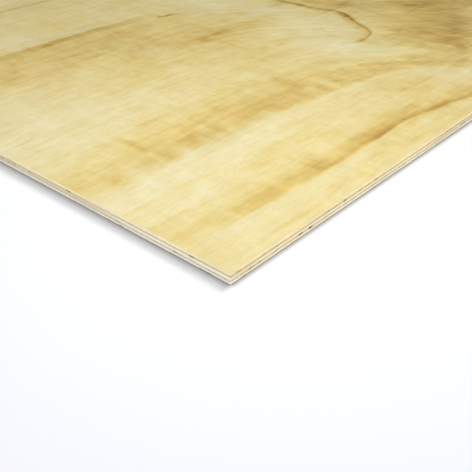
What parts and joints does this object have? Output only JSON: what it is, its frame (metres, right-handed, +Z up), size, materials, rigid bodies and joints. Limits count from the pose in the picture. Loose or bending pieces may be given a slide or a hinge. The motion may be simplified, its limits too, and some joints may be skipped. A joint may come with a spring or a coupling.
{
  "type": "plywood sheet",
  "caption": "Flat rectangular sheet of cross-laminated pine veneers with sawn square edges, for floors, walls, roofs and joinery.",
  "frame": {"origin": "middle of the underside, on the surface that the sheet lies on", "axes": "+X along the sheet, the way the face grain runs; +Y across it; +Z up, out of the sanded face"},
  "size_m": [2.44, 1.22, 0.012],
  "materials": {
    "face": "sanded pine veneer, bare",
    "crossband": "sawn pine veneer, bare",
    "centre": "sawn pine veneer, bare",
    "back": "sanded pine veneer, bare"
  },
  "bodies": {
    "root": {"face_veneer": "face", "upper_crossband": "crossband", "centre_veneer": "centre", "lower_crossband": "crossband", "back_veneer": "back"}
  },
  "joints": []
}
